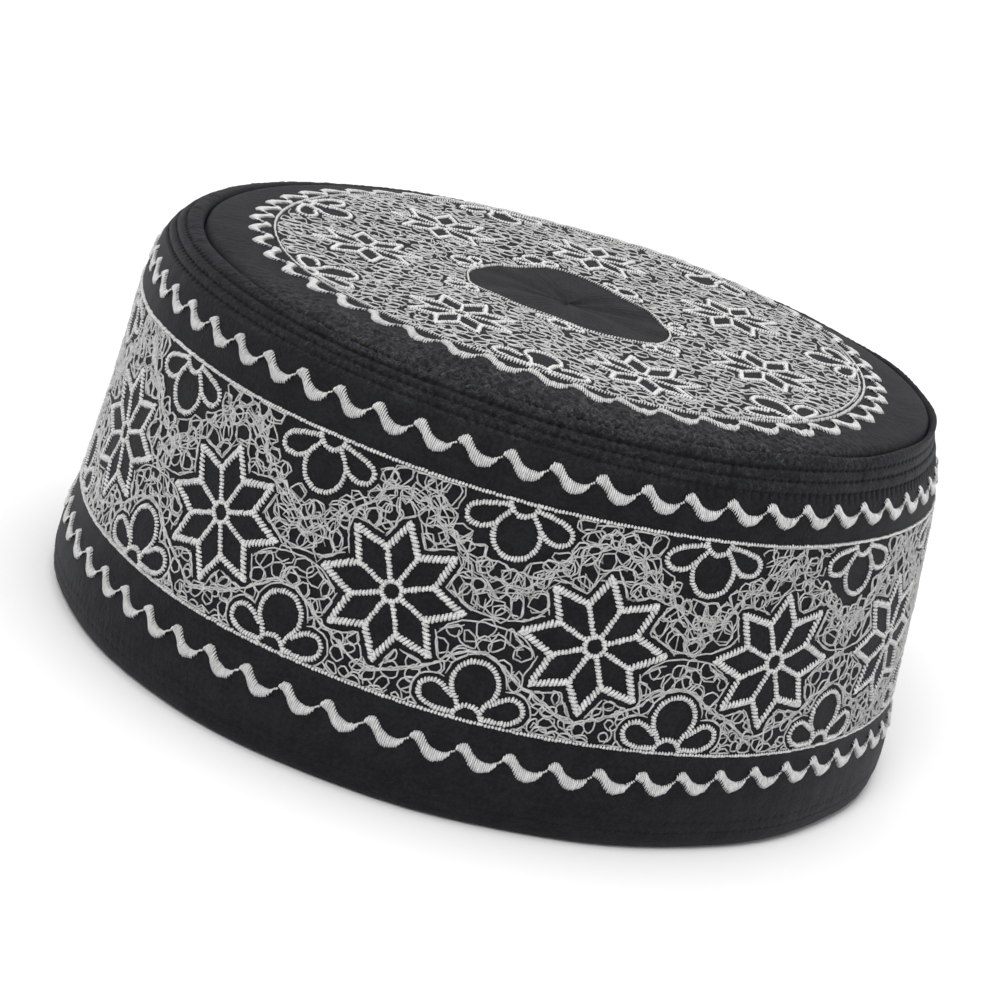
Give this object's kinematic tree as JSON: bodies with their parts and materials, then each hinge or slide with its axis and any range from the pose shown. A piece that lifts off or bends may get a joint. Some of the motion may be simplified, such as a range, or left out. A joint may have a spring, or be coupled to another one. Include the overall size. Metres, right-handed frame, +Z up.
{
  "type": "embroidered kufi cap",
  "caption": "Round brimless cap with a flared side band, turned hem, quilted shoulder and nearly flat crown panel, worn on the head.",
  "frame": {"origin": "on the surface that the cap stands on, at the centre of its hem", "axes": "+Z up through the middle of the crown, -Y towards the front of the cap"},
  "size_m": [0.1924, 0.1924, 0.0867],
  "materials": {
    "band_cloth": "matt black twill, row-stitched at the shoulder",
    "crown_cloth": "matt black twill",
    "light_thread": "light grey embroidery thread, soft sheen",
    "black_thread": "black sewing thread"
  },
  "bodies": {
    "root": {"side_band": "band_cloth", "crown_panel": "crown_cloth"}
  },
  "joints": []
}
